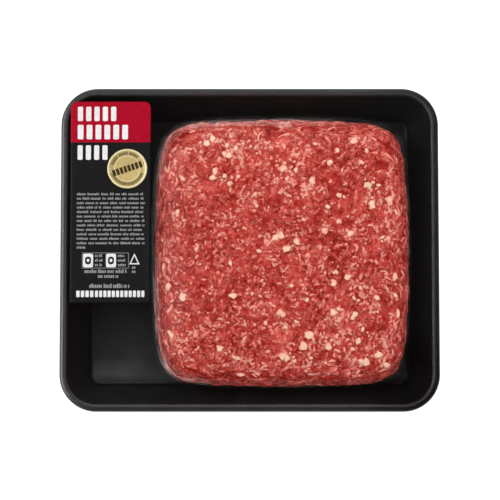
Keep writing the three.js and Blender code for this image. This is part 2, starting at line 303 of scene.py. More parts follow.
def make_core(material):
    """The block's body, whose crumbled surface shows between the strands."""
    points, quads, last_ring = beef_shell(150, 158, 50)
    _, out = beef_field(points)
    rough = 0.4 * noise(points, 2.3, 3) + 0.2 * noise(points, 1.3, 4)
    bare = bareness(points)
    depth = 0.7 - 0.4 * bare + 0.9 * lump_depth(points) + rough * (1 - 0.4 * bare)
    points = points - np.maximum(depth, 0.3)[:, None] * out
    points[:, 2] = np.maximum(points[:, 2], BEEF_BOTTOM)
    points = np.vstack([points, [BEEF_CENTRE[0], BEEF_CENTRE[1], BEEF_BOTTOM]])
    after = np.roll(last_ring, -1)
    bottom = np.stack([np.full(len(last_ring), len(points) - 1), after, last_ring], axis=1)
    tone = 0.31 + 0.12 * noise(points, 6.0, 5) + 0.17 * noise(points, 2.4, 6)
    # Painted shade: the core is darker towards the block's outline.
    tone += 0.12 * bareness(points) - 0.38 * side_shade(points)
    piece = new_piece("mince_core", points, [*quads, bottom], [material], tone=tone)
    place(piece, "ground_beef", "ground_beef")


STRAND_STEPS = 6
STRAND_SIDES = 6
STRAND_FLATTENING = 0.42


def strand_paths(rng, spot, out, length, curl):
    """Centrelines that wander over the block's surface, and the way out along them."""
    count = len(spot)
    flatness = np.clip((out[:, 2] - 0.88) / 0.08, 0, 1)
    level = unit(np.cross([0.0, 0.0, 1.0], out) + [1e-4, 0, 0])
    upward = np.cross(out, level)
    free = rng.uniform(-math.pi, math.pi, count)
    held = rng.normal(0, 0.3, count)
    turn = np.where(rng.random(count) < flatness, free, held)
    heading = level * np.cos(turn)[:, None] + upward * np.sin(turn)[:, None]
    span = (rng.uniform(*length, count) * (2.1 - 1.1 * flatness) / STRAND_STEPS)[:, None]
    curl = curl * (0.45 + 0.55 * flatness)
    bend = rng.normal(0, curl, count)
    paths, ways = [spot], [out]
    for _ in range(STRAND_STEPS):
        bend = bend * 0.75 + rng.normal(0, curl * 0.6, count)
        side = np.cross(out, heading)
        heading = heading * np.cos(bend)[:, None] + side * np.sin(bend)[:, None]
        spot, out = onto_beef(spot + heading * span, rounds=1)
        heading = unit(heading - (heading * out).sum(axis=1, keepdims=True) * out)
        paths.append(spot)
        ways.append(out)
    return np.stack(paths, axis=1), np.stack(ways, axis=1)


def make_strands(name, material, rng, spots, length, radius, curl, sink, tones):
    """One mesh of short tapering strands, bedded in the surface and pressed flat by the film."""
    steps, sides = STRAND_STEPS, STRAND_SIDES
    crowding = np.clip(0.92 + 0.5 * noise(spots[0], 9.0, 33), 0.3, 1) * (1 - bareness(spots[0]))
    kept = rng.random(len(spots[0])) < crowding
    paths, ways = strand_paths(rng, spots[0][kept], spots[1][kept], length, curl)
    count = len(paths)
    across = np.cross(ways, unit(np.gradient(paths, axis=1)))
    share = np.linspace(0, 1, steps + 1)
    thick = rng.uniform(*radius, (count, 1)) * (1 + 0.22 * rng.standard_normal((count, steps + 1)))
    thick = np.clip(thick, radius[0] * 0.6, radius[1] * 1.3)
    taper = np.sqrt(np.clip(1 - (2 * share[1:-1] - 1) ** 4, 0, 1))
    thick = thick[:, 1:-1] * taper
    flat = paths.reshape(-1, 3)
    bedding = lump_depth(flat).reshape(count, -1) + rng.uniform(*sink, (count, 1))
    bedding += 0.9 * radius[0] * (2 * share - 1) ** 2
    centres = paths - bedding[:, :, None] * ways
    angles = math.pi / 2 + np.arange(sides) * (2 * math.pi / sides)
    ring = (
        across[:, 1:-1, None, :] * np.cos(angles)[None, None, :, None]
        + ways[:, 1:-1, None, :] * STRAND_FLATTENING * np.sin(angles)[None, None, :, None]
    )
    body = centres[:, 1:-1, None, :] + thick[:, :, None, None] * ring
    rings = steps - 1
    body = body.reshape(count, rings * sides, 3)
    points = np.concatenate([body, centres[:, :1], centres[:, -1:]], axis=1)
    size = rings * sides + 2
    points = press_in(points.reshape(-1, 3), 0.04)
    quads = ring_faces(rings, sides)
    caps = end_caps(size - 2, (rings - 1) * sides, sides)
    offsets = (np.arange(count) * size)[:, None, None]
    middle = paths[:, steps // 2]
    tone = rng.normal(tones[0], tones[1], count) + tones[2] * noise(middle, 7.0, 11)
    # Painted shade: each strand is darker on its lower flanks and at its ends, and darker towards the block's
    # outline, the palest strands least.
    flank_shade = np.concatenate([np.tile(0.5 - 0.5 * np.sin(angles), rings), [0.8, 0.8]])
    tone = np.repeat(tone, size) + 0.07 * noise(points, 1.6, 12) - 0.5 * np.tile(flank_shade, count)
    tone -= (1.16 - tones[0]) * side_shade(points)
    faces = [(quads[None] + offsets).reshape(-1, 4), (caps[None] + offsets).reshape(-1, 3)]
    piece = new_piece(name, points, faces, [material], tone=np.clip(tone, 0, 1))
    place(piece, "ground_beef")


def blob_template(level):
    """Points and triangles of a round ball."""
    bpy.ops.mesh.primitive_ico_sphere_add(subdivisions=level, radius=1)
    ball = bpy.context.object
    points = np.array([vertex.co for vertex in ball.data.vertices])
    faces = np.array([polygon.vertices for polygon in ball.data.polygons])
    bpy.data.objects.remove(ball)
    return points, faces


def make_blobs(name, material, rng, spots, sizes, level, flatten, sink, rough, tones, fade=0.0):
    """One mesh of uneven grains, bedded in the surface, pressed flat and faded at their edges."""
    ball, triangles = blob_template(level)
    kept = rng.random(len(spots[0])) > (outline_share(spots[0][:, :2]) - 0.86) / 0.1
    spot, out = spots[0][kept], spots[1][kept]
    count = len(spot)
    spot = spot - (lump_depth(spot) * 0.6 + rng.uniform(*sink, count))[:, None] * out
    steep = np.clip((0.95 - out[:, 2]) / 0.12, 0, 1)[:, None]
    lean = rng.normal(0, 1, (count, 3)) * (1 - 0.8 * steep) - [0, 0, 2] * steep
    first = unit(np.cross(out, lean))
    second = np.cross(out, first)
    half = sizes[0] + (sizes[1] - sizes[0]) * rng.random(count) ** 1.6
    stretch = rng.uniform(0.65, 1.0, count)
    shift = rng.uniform(-500, 500, (count, 1, 3))
    local = np.broadcast_to(ball, (count, *ball.shape))
    wobble = noise((local + shift).reshape(-1, 3), 0.75, 21).reshape(count, -1)
    wobble += 0.5 * noise((local + shift).reshape(-1, 3), 0.4, 22).reshape(count, -1)
    local = local * (1 + rough * wobble)[:, :, None]
    points = (
        spot[:, None, :]
        + local[:, :, :1] * (half * (1 + 0.35 * steep[:, 0]))[:, None, None] * first[:, None, :]
        + local[:, :, 1:2] * (half * stretch)[:, None, None] * second[:, None, :]
        + local[:, :, 2:] * (half * flatten)[:, None, None] * out[:, None, :]
    )
    points = press_in(points.reshape(-1, 3), 0.03)
    offsets = (np.arange(count) * len(ball))[:, None, None]
    tone = np.repeat(rng.normal(tones[0], tones[1], count), len(ball)) + 0.28 * noise(points, 1.3, 23)
    # Each grain fades lower down, and painted shade darkens the grains towards the block's outline.
    tone -= fade * np.tile(np.clip(1.05 - ball[:, 2], 0, 1.2) ** 1.3, count) + 0.3 * side_shade(points)
    faces = [(triangles[None] + offsets).reshape(-1, 3)]
    piece = new_piece(name, points, faces, [material], tone=np.clip(tone, 0, 1))
    place(piece, "ground_beef")


# Tray

def rounded_outline(inset, corner_steps, spacing):
    """Points anticlockwise round the tray's outline, inset from its outer edge."""
    half = TRAY_HALF - inset
    radius = max(TRAY_CORNER_RADIUS - inset, FLOOR_CORNER_RADIUS)
    middle = half - radius
    points = []
    for quarter, signs in enumerate(QUARTERS):
        angles = (quarter + np.linspace(0, 1, corner_steps + 1)) * (math.pi / 2)
        arc = np.stack([np.cos(angles), np.sin(angles)], axis=1) * radius + middle * signs
        points.append(arc)
        length = 2 * (middle[1] if quarter % 2 else middle[0])
        steps = spacing[1] if quarter % 2 else spacing[0]
        turned = np.array([-math.sin(angles[-1]), math.cos(angles[-1])])
        share = (np.arange(1, steps) / steps)[:, None]
        points.append(arc[-1] + turned * length * share)
    return np.concatenate(points)


def quarter_round(start, end, steps, leaving):
    """Points along a quarter of an ellipse, leaving start level ("across") or upright ("up")."""
    angle = np.linspace(0, math.pi / 2, steps + 1)
    level = np.sin(angle) if leaving == "across" else 1 - np.cos(angle)
    upright = 1 - np.cos(angle) if leaving == "across" else np.sin(angle)
    shares = zip(level, upright)
    return [(start[0] + (end[0] - start[0]) * a, start[1] + (end[1] - start[1]) * u) for a, u in shares]


def tray_section():
    """The tray's cross-section as (inset, height), from under the base round to the floor."""
    rim_underside = TRAY_HEIGHT - RIM_LIP_DEPTH
    wall_top = RIM_WIDTH - WALL_THICKNESS
    floor_edge = FLOOR_INSET - FLOOR_FILLET
    base_edge = BASE_INSET + BASE_FILLET / 2
    root_start = (wall_top + RIM_ROOT_FILLET / 2, rim_underside - RIM_ROOT_FILLET)
    root_end = (wall_top - RIM_ROOT_FILLET / 2, rim_underside)
    return [
        (BASE_INSET + FOOT_WIDTH + FOOT_BEVEL, FOOT_RECESS),
        (BASE_INSET + FOOT_WIDTH, 0),
        *quarter_round((base_edge, 0), (base_edge - BASE_FILLET, BASE_FILLET), 6, "across"),
        *quarter_round(root_start, root_end, 6, "up"),
        *quarter_round((RIM_LIP_ROUND, rim_underside), (0, rim_underside + RIM_LIP_ROUND), 4, "across"),
        *quarter_round((0, TRAY_HEIGHT - RIM_ROUND), (RIM_ROUND, TRAY_HEIGHT), 8, "up"),
        *quarter_round((FLANGE_INSET, TRAY_HEIGHT), (RIM_WIDTH, TRAY_HEIGHT - RIM_INNER_ROUND), 8, "across"),
        *quarter_round((floor_edge, FLOOR_THICKNESS + FLOOR_FILLET), (FLOOR_INSET, FLOOR_THICKNESS), 8, "up"),
    ]


def make_tray(material):
    """The tray as one smooth shell, with a rolled rim and a recessed base."""
    section = tray_section()
    rings = []
    for inset, height in section:
        outline = rounded_outline(inset, 20, (40, 34))
        rings.append(np.column_stack([outline, np.full(len(outline), height)]))
    around = len(rings[0])
    points = np.vstack([*rings, [[0, 0, FOOT_RECESS], [0, 0, FLOOR_THICKNESS]]])
    count = len(points)
    faces = [ring_faces(len(rings), around), end_caps(count - 2, (len(rings) - 1) * around, around)]
    piece = new_piece("tray_shell", points, faces, [material])
    place(piece, "tray_foam", "tray")


# Film

def edge_distance(points, inset):
    """How far points lie outside a rounded rectangle inset from the tray's edge."""
    radius = TRAY_CORNER_RADIUS - inset
    offset = np.abs(points) - (TRAY_HALF - inset - radius)
    outside = np.linalg.norm(np.maximum(offset, 0), axis=1)
    return outside + np.minimum(offset.max(axis=1), 0) - radius


def reach_to(direction, inset):
    """Distance from the block's middle to the rounded rectangle, along each direction."""
    low = np.zeros(len(direction))
    high = np.full(len(direction), 400.0)
    for _ in range(40):
        middle = (low + high) / 2
        inside = edge_distance(BEEF_CENTRE[:2] + direction * middle[:, None], inset) < 0
        low = np.where(inside, middle, low)
        high = np.where(inside, high, middle)
    return low


def on_beef(direction, radius):
    """Height of the film where it clings to the block."""
    share = np.minimum(outline_share(BEEF_CENTRE[:2] + direction * radius[:, None]), 1)
    rise = BEEF_RISE * (1 - share ** SHOULDER_POWER) ** (1 / SHOULDER_POWER)
    return BEEF_CENTRE[2] + rise + FILM_CLEARANCE


def film_rays(direction):
    """Where along each direction the film leaves the block, and where it meets the rim."""
    reach = reach_to(direction, FLANGE_INSET)
    step = 0.25
    leave = np.zeros(len(direction))
    active = np.ones(len(direction), bool)
    while active.any():
        here, ahead = on_beef(direction, leave), on_beef(direction, leave + step)
        active &= FILM_FLARE * (here - ahead) / step < here - FLANGE_HEIGHT
        leave = np.where(active, leave + step, leave)
    return leave, reach


def film_height(direction, radius, leave, reach):
    """Height of the film's underside at a distance along each direction."""
    rise = on_beef(direction, leave) - FLANGE_HEIGHT
    left = np.exp((leave - reach) / FILM_FLARE)
    flare = (np.exp((leave - radius) / FILM_FLARE) - left) / (1 - left)
    spanned = FLANGE_HEIGHT + rise * np.maximum(flare, 0)
    return np.where(radius < leave, on_beef(direction, np.minimum(radius, leave)), spanned)


def film_over(points):
    """Height of the film's underside over each point (x, y)."""
    away = np.asarray(points, float) - BEEF_CENTRE[:2]
    radius = np.maximum(np.linalg.norm(away, axis=1), 1e-6)
    direction = away / radius[:, None]
    leave, reach = film_rays(direction)
    return film_height(direction, np.minimum(radius, reach), leave, reach)


def make_film(material):
    """The clear film, shrunk over the block and sealed on the rim, as one thin closed sheet."""
    rays, contact_rows, span_rows = 420, 30, 40
    angle = np.linspace(0, 2 * math.pi, rays, endpoint=False)
    direction = np.column_stack([np.cos(angle), np.sin(angle)])
    leave, reach = film_rays(direction)
    edge = reach_to(direction, FILM_EDGE_INSET)
    radii = [leave * (row / contact_rows) ** 0.75 for row in range(1, contact_rows + 1)]
    radii += [leave + (reach - leave) * (row / span_rows) ** 1.7 for row in range(1, span_rows + 1)]
    rings = []
    for radius in [*radii, edge]:
        spot = BEEF_CENTRE[:2] + direction * radius[:, None]
        height = film_height(direction, np.minimum(radius, reach), leave, reach)
        ring = np.column_stack([spot, height])
        ring[:, 2] += 0.12 * noise(ring, 3.4, 34) * np.clip((leave - radius) / 6, 0, 1)
        ring[:, 2] = np.maximum(ring[:, 2], FLANGE_HEIGHT)
        rings.append(ring)
    count = len(rings) * rays
    lower = np.vstack(rings)
    upper = lower + [0, 0, FILM_THICKNESS]
    middle = np.array([BEEF_CENTRE[0], BEEF_CENTRE[1], BEEF_CENTRE[2] + BEEF_RISE + FILM_CLEARANCE])
    points = np.vstack([lower, upper, [middle], [middle + [0, 0, FILM_THICKNESS]]])
    band = ring_faces(len(rings), rays)
    last = (len(rings) - 1) * rays + np.arange(rays)
    after = np.roll(last, -1)
    rim = np.stack([last, after, after + count, last + count], axis=1)
    caps = end_caps(2 * count, count, rays)
    away = points[:, :2] - BEEF_CENTRE[:2]
    heading = away / np.maximum(np.linalg.norm(away, axis=1, keepdims=True), 1e-6)
    piece = new_piece(
        "clear_film", points, [band[:, ::-1] + count, band, rim, caps], [material],
        heading_x=heading[:, 0], heading_y=heading[:, 1],
        past_block=(outline_share(points[:, :2]) - 1) * BEEF_HALF.mean(),
        rim_inset=-edge_distance(points[:, :2], 0),
    )
    place(piece, "clear_film", "film")


# Label and seal

def label_surface(points):
    """Height of the label's printed face over each point."""
    return film_over(points) + LABEL_LIFT


def make_label(sheet_material, head_material):
    """The printed label, whose head is another colour."""
    columns, low_rows, head_rows, arc_rows = 40, 60, 14, 8
    arc_foot = LABEL_TOP - LABEL_CORNER_RADIUS
    heights = np.concatenate([
        np.linspace(LABEL_BOTTOM, LABEL_HEAD_BOTTOM, low_rows + 1)[:-1],
        np.linspace(LABEL_HEAD_BOTTOM, arc_foot, head_rows + 1)[:-1],
        arc_foot + LABEL_CORNER_RADIUS * np.sin(np.linspace(0, math.pi / 2, arc_rows + 1)),
    ])
    cut = LABEL_CORNER_RADIUS - np.sqrt(LABEL_CORNER_RADIUS ** 2 - np.maximum(heights - arc_foot, 0) ** 2)
    share = np.linspace(0, 1, columns + 1)
    left, right = LABEL_LEFT + cut, LABEL_RIGHT - cut
    x = left[:, None] + (right - left)[:, None] * share[None, :]
    y = np.repeat(heights[:, None], columns + 1, axis=1)
    flat = np.column_stack([x.ravel(), y.ravel()])
    upper = np.column_stack([flat, label_surface(flat)])
    lower = upper - [0, 0, LABEL_THICKNESS]
    count = len(upper)
    index = np.arange(count).reshape(x.shape)
    quads = grid_faces(index)
    border = grid_border(index)
    after = np.roll(border, -1)
    sides = np.stack([border + count, after + count, after, border], axis=1)
    row_of = np.repeat(np.arange(x.shape[0] - 1), columns)
    head = (row_of >= low_rows).astype(int)
    side_head = (heights[border // (columns + 1)] >= LABEL_HEAD_BOTTOM).astype(int)
    piece = new_piece(
        "label_sheet", np.vstack([upper, lower]), [quads, quads[:, ::-1] + count, sides],
        [sheet_material, head_material], face_materials=np.concatenate([head, head, side_head]),
    )
    place(piece, "label_print", "label")


INK_HEIGHT = 0.04
BAR_CORNER_POINTS = 4


def ink_piece(name, shapes, material, base_height, slot):
    """Flat printed shapes as one mesh, each raised a little off the face it lies on."""
    points, groups, start = [], [], 0
    sizes = {}
    for outline in shapes:
        sizes.setdefault(len(outline), []).append(outline)
    for size, outlines in sizes.items():
        flat = np.concatenate(outlines)
        ground = base_height(flat)
        points += [np.column_stack([flat, ground + lift]) for lift in (INK_HEIGHT, -INK_HEIGHT)]
        top = start + np.arange(len(flat)).reshape(-1, size)
        bottom = top + len(flat)
        wall = np.stack([bottom, np.roll(bottom, -1, axis=1), np.roll(top, -1, axis=1), top], axis=-1)
        groups += [top, bottom[:, ::-1], wall.reshape(-1, 4)]
        start += 2 * len(flat)
    piece = new_piece(name, np.vstack(points), groups, [material], smooth=False)
    place(piece, slot)


def bar(left, right, bottom, top, radius=0.0):
    """Outline of a bar, with round corners where a radius is given."""
    if radius == 0:
        return np.array([(left, bottom), (right, bottom), (right, top), (left, top)])
    points = []
    for quarter, signs in enumerate(QUARTERS):
        middle = np.where(signs > 0, (right, top), (left, bottom)) - radius * signs
        angles = (quarter + np.linspace(0, 1, BAR_CORNER_POINTS)) * (math.pi / 2)
        points.append(middle + radius * np.stack([np.cos(angles), np.sin(angles)], axis=1))
    return np.concatenate(points)


def word_blocks(left, right, bottom, top, count, gap, radius=0.0):
    """Equal blocks in a row, standing for a word."""
    width = (right - left - gap * (count - 1)) / count
    starts = left + np.arange(count) * (width + gap)
    return [bar(start, start + width, bottom, top, radius) for start in starts]


def print_line(rng, left, right, middle, height, letter, space):
    """A line of fine print as small blocks in word-like groups."""
    blocks, x = [], left
    while x < right - letter:
        for _ in range(rng.integers(2, 9)):
            width = letter * rng.uniform(0.7, 1.25)
            if x + width > right:
                break
            rise = height * (0.5 if rng.random() < 0.75 else 0.82)
            blocks.append(bar(x, x + width, middle - height * 0.5, middle + rise))
            x += width + letter * 0.38
        x += space * rng.uniform(0.8, 1.4)
    return blocks


def hollow_outline(outer, inner):
    """Quads that fill the band between two outlines of equal length."""
    return [
        np.array([outer[i], outer[(i + 1) % len(outer)], inner[(i + 1) % len(outer)], inner[i]])
        for i in range(len(outer))
    ]


# The label's print. A headline is its right end, bottom, top and number of blocks, and a line of fine
# print is its left, right, middle, height, letter and space.
HEADLINES = ((-84.8, 81.4, 90.6, 5), (-77.3, 69.7, 79.0, 6), (-90.2, 56.6, 65.9, 4))
FOOT_BAND = (-30.6, -26.5)
FOOT_WORDS = ((-109.4, -98.6, 4), (-97.6, -66.4, 12))
SMALL_LINES = (
    (-104.3, -77.6, -14.5, 1.7, 0.8, 0.6),
    (-95.8, -82.4, -17.6, 1.7, 0.8, 0.6),
    (-101.2, -75.0, -23.8, 2.0, 0.85, 0.7),
)
TRIANGLE_LINES = ((-74.3, -71.2, -12.0, 1.4, 0.8, 0.5), (-74.3, -71.2, -14.6, 1.4, 0.8, 0.5))
HEADLINE_LEFT = -109.2
PRINT_LEFT = -109.4
PRINT_RIGHT = -66.2
FIRST_LINE = 34.6
LINE_PITCH = 2.83
FULL_LINES = 12
LAST_LINE_RIGHT = -102.6
FINE_LETTER = (1.15, 0.66, 0.85)
FRAME_OUTER = (-105.9, -76.4, -12.4, -2.5)
FRAME_LINE = 0.3
SYMBOL_LEFTS = (-105.3, -90.8)
TRIANGLE = ((-76.1, -9.9), (-69.5, -9.9), (-72.8, -2.9))


def symbol_print(rng, left):
    """A square ring with a dot, and the small print to the right of it."""
    outer = bar(left, left + 6.4, -11.8, -3.1, 1.1)
    inner = bar(left + 1.3, left + 5.1, -9.9, -5.0, 1.6)
    ring = [*hollow_outline(outer, inner), bar(left + 2.4, left + 4.0, -8.4, -6.4, 0.6)]
    words = []
    for row in range(3):
        words += print_line(rng, left + 7.6, left + 12.6, -4.6 - 2.9 * row, 1.3, 0.7, 0.6)
    return ring, words


def make_print(white, grey):
    """The label's words and small symbols, as plain blocks and simple shapes."""
    rng = np.random.default_rng(41)
    bright, dim = [], []
    for right, bottom, top, blocks in HEADLINES:
        bright += word_blocks(HEADLINE_LEFT, right, bottom, top, blocks, 2.0, 0.8)
    for left, right, blocks in FOOT_WORDS:
        bright += word_blocks(left, right, *FOOT_BAND, blocks, 0.75, 0.5)
    for line in range(FULL_LINES + 1):
        right = PRINT_RIGHT if line < FULL_LINES else LAST_LINE_RIGHT
        dim += print_line(rng, PRINT_LEFT, right, FIRST_LINE - LINE_PITCH * line, *FINE_LETTER)
    for row in SMALL_LINES:
        dim += print_line(rng, *row)
    for left in SYMBOL_LEFTS:
        ring, words = symbol_print(rng, left)
        bright += ring
        dim += words
    left, right, bottom, top = FRAME_OUTER
    inner = bar(left + FRAME_LINE, right - FRAME_LINE, bottom + FRAME_LINE, top - FRAME_LINE)
    dim += hollow_outline(bar(left, right, bottom, top), inner)
    corners = np.array(TRIANGLE)
    middle = corners.mean(axis=0)
    bright += hollow_outline(corners, middle + (corners - middle) * 0.66)
    for row in TRIANGLE_LINES:
        dim += print_line(rng, *row)
    ink_piece("label_words", bright, white, label_surface, "label_print")
    ink_piece("label_fine_print", dim, grey, label_surface, "label_print")


# The seal and its print, in millimetres and degrees
SEAL_LIFT = 0.45
SEAL_THICKNESS = 0.33
SEAL_STEPS = 120
SEAL_MIDDLE = 4.0
SEAL_TILT = 18.5
MARK_REACH = (8.8, 10.8)
MARK_HALF_WIDTH = 0.45
MARK_STEP = 7.2
MARK_MARGIN = 3
MARK_ARCS = ((48, 170, 3), (200, 345, 4))


def seal_surface(points):
    """Height of the seal's face over each point."""
    return label_surface(points) + SEAL_LIFT


def seal_marks():
    """Short marks round the seal, in groups like words."""
    marks = []
    near, far = MARK_REACH
    corners = ((near, -1), (far, -1), (far, 1), (near, 1))
    for start, end, groups in MARK_ARCS:
        edges = np.linspace(start, end, groups + 1)
        for first, last in zip(edges[:-1], edges[1:]):
            for mark in np.radians(np.arange(first + MARK_MARGIN, last - MARK_MARGIN, MARK_STEP)):
                outward = np.array([math.cos(mark), math.sin(mark)])
                side = np.array([-math.sin(mark), math.cos(mark)]) * MARK_HALF_WIDTH
                marks.append(SEAL_CENTRE + [outward * reach + side * way for reach, way in corners])
    return marks


def make_seal(gold, pale, dull, ink, faint_ink):
    """The round gold seal with a raised rim, a ring of marks and a slanting row of blocks."""
    around, inner = SEAL_STEPS, SEAL_MIDDLE
    angle = np.linspace(0, 2 * math.pi, around, endpoint=False)
    circle = np.column_stack([np.cos(angle), np.sin(angle)])
    profile = [
        (SEAL_RADIUS, -SEAL_THICKNESS), (SEAL_RADIUS, 0.03), (SEAL_RADIUS - 0.25, 0.13),
        (SEAL_RADIUS - 0.9, 0.13), (SEAL_RADIUS - 1.2, 0.0), (SEAL_RADIUS - 4.0, 0.0),
        (SEAL_RADIUS - 4.2, 0.02), (SEAL_RADIUS - 4.6, 0.02), (SEAL_RADIUS - 4.8, 0.0), (inner, 0.0),
    ]
    rings = []
    for radius, lift in [(inner, -SEAL_THICKNESS), *profile]:
        flat = SEAL_CENTRE + circle * radius
        rings.append(np.column_stack([flat, seal_surface(flat) + lift]))
    middle = seal_surface(SEAL_CENTRE[None, :])[0]
    points = np.vstack([*rings, [[*SEAL_CENTRE, middle - SEAL_THICKNESS], [*SEAL_CENTRE, middle]]])
    count = len(points)
    band = ring_faces(len(rings), around)
    caps = end_caps(count - 2, (len(rings) - 1) * around, around)
    tones = np.repeat([0, 0, 1, 1, 1, 2, 2, 1, 1, 0], around)
    tones = np.concatenate([tones, np.zeros(len(caps), int)])
    disc = new_piece("seal_disc", points, [band, caps], [gold, pale, dull], face_materials=tones)
    place(disc, "seal_foil", "seal")
    tilt = math.radians(SEAL_TILT)
    turn = np.array([[math.cos(tilt), math.sin(tilt)], [-math.sin(tilt), math.cos(tilt)]])
    words = word_blocks(-9.7, 9.7, -2.1, 2.1, 8, 0.6, 0.35)
    words += [bar(side - 0.4, side + 0.4, -0.4, 0.4, 0.3) for side in (-11.0, 11.0)]
    ink_piece("seal_word", [block @ turn + SEAL_CENTRE for block in words], ink, seal_surface, "seal_foil")
    ink_piece("seal_marks", seal_marks(), faint_ink, seal_surface, "seal_foil")


# Materials

def new_material(name):
    """A node material, its tree, and its Principled shader."""
    material = bpy.data.materials.new(name)
    material.use_nodes = True
    tree = material.node_tree
    return material, tree, tree.nodes["Principled BSDF"]


def node(tree, kind, inputs=None, **settings):
    """Adds a node, sets its properties, and fills or links its inputs."""
    made = tree.nodes.new("ShaderNode" + kind)
    for key, value in settings.items():
        setattr(made, key, value)
    set_inputs(made, inputs or {})
    return made


def set_inputs(made, inputs):
    """Links each of a node's named inputs to a socket, or sets it to a number or a colour."""
    for key, value in inputs.items():
        if isinstance(value, bpy.types.NodeSocket):
            made.id_data.links.new(value, made.inputs[key])
        else:
            made.inputs[key].default_value = value


def object_point(tree):
    """The place on the pack, in metres."""
    return node(tree, "TexCoord").outputs["Object"]


def attribute(tree, name):
    """A number kept on the mesh's points."""
    return node(tree, "Attribute", attribute_name=name).outputs["Fac"]


def speckle(point, size, detail=2.0, distortion=0.0):
    """Noise from 0 to 1 with lumps about size millimetres wide."""
    inputs = {"Vector": point, "Scale": 1 / (size * MM), "Detail": detail, "Distortion": distortion}
    return node(point.id_data, "TexNoise", inputs).outputs["Fac"]


def maths(operation, *values):
    """One step of arithmetic on sockets and numbers."""
    tree = next(value.id_data for value in values if isinstance(value, bpy.types.NodeSocket))
    return node(tree, "Math", dict(enumerate(values)), operation=operation).outputs[0]


def chained(operation, values, clamp):
    """The result of one operation over all the values in turn, kept from 0 to 1 on request."""
    result = values[0]
    for value in values[1:]:
        result = maths(operation, result, value)
    result.node.use_clamp = clamp
    return result


def times(*values, clamp=False):
    """The product of sockets and numbers."""
    return chained("MULTIPLY", values, clamp)


def plus(*values, clamp=False):
    """The sum of sockets and numbers."""
    return chained("ADD", values, clamp)


def remap(value, low, high, to_low=0.0, to_high=1.0, **settings):
    """A value carried from one range to another, and held at its ends."""
    inputs = {"Value": value, "From Min": low, "From Max": high, "To Min": to_low, "To Max": to_high}
    return node(value.id_data, "MapRange", inputs, **settings).outputs["Result"]


def uneven(cloud, low, high):
    """A measure that varies from low to high with a cloud of noise."""
    return remap(cloud, 0.3, 0.7, low, high)


def bell(value, middle, width):
    """1 where the value is at the middle, falling to 0 a width away on either side."""
    away = maths("ABSOLUTE", maths("SUBTRACT", value, middle))
    return remap(away, 0.0, width, 1.0, 0.0, interpolation_type="SMOOTHSTEP")


def ramp(value, stops):
    """The colour for a value from 0 to 1, between stops."""
    made = node(value.id_data, "ValToRGB", {"Fac": value})
    elements = made.color_ramp.elements
    while len(elements) < len(stops):
        elements.new(0.5)
    for element, (position, colour) in zip(elements, stops):
        element.position = position
        element.color = (*colour, 1)
    return made.outputs["Color"]


def blend_colour(share, first, second):
    """A colour between two, each of which is a socket or a fixed colour."""
    ends = [(*end, 1) if isinstance(end, tuple) else end for end in (first, second)]
    return node(share.id_data, "Mix", {0: share, 6: ends[0], 7: ends[1]}, data_type="RGBA").outputs[2]


def add_bump(shader, height, depth, strength):
    """Fine relief, up to a depth in millimetres."""
    made = node(shader.id_data, "Bump", {"Height": height, "Strength": strength, "Distance": depth * MM})
    set_inputs(shader, {"Normal": made.outputs["Normal"]})


LEAN = (
    (0.0, (0.228, 0.0085, 0.0056)),
    (0.25, (0.348, 0.0240, 0.0175)),
    (0.5, (0.468, 0.049, 0.0380)),
    (0.75, (0.635, 0.120, 0.096)),
    (1.0, (0.850, 0.350, 0.280)),
)
FAT = (
    (0.0, (0.560, 0.110, 0.080)),
    (0.3, (0.760, 0.260, 0.190)),
    (0.65, (0.860, 0.430, 0.315)),
    (1.0, (0.865, 0.550, 0.415)),
)
SINEW = (0.74, 0.22, 0.17)


def meat_material(name, stops, curls, roughness):
    """Moist mince: a colour for each strand, mottled, with fine pale curls of fat and sinew."""
    material, tree, shader = new_material(name)
    point = object_point(tree)
    mottle = speckle(point, 1.9, 1.5, 0.5)
    tone = plus(
        attribute(tree, "tone"),
        uneven(mottle, -0.17, 0.17),
        remap(speckle(point, 8, 1, 0.8), 0.35, 0.65, -0.16, 0.16),
        remap(speckle(point, 40, 1, 0.4), 0.35, 0.65, -0.09, 0.09),
        clamp=True,
    )
    line = maths("ABSOLUTE", maths("SUBTRACT", speckle(point, 3.6, 1.5, 1.6), 0.5))
    line = remap(line, 0.008, 0.035, 1, 0)
    patchy = remap(speckle(point, 5, 1), 0.42, 0.6)
    colour = blend_colour(times(line, patchy, curls, clamp=True), ramp(tone, stops), SINEW)
    set_inputs(shader, {
        "Base Color": colour,
        "Roughness": uneven(mottle, roughness - 0.08, roughness + 0.1),
        "Specular IOR Level": 0.035,
        "Subsurface Weight": 0.4,
        "Subsurface Radius": (1.0, 0.3, 0.25),
        "Subsurface Scale": 1.7 * MM,
    })
    add_bump(shader, speckle(point, 1.2, 1), 0.15, 0.3)
    return material


BLACK_LEFT = (0.0034, 0.0035, 0.0035)
BLACK_RIGHT = (0.0052, 0.0070, 0.0070)
# The grey painted on the tray's floor as sheen.
SHEEN_GREY = (0.05, 0.05, 0.0515)
FILLET_HEIGHT = 5.4


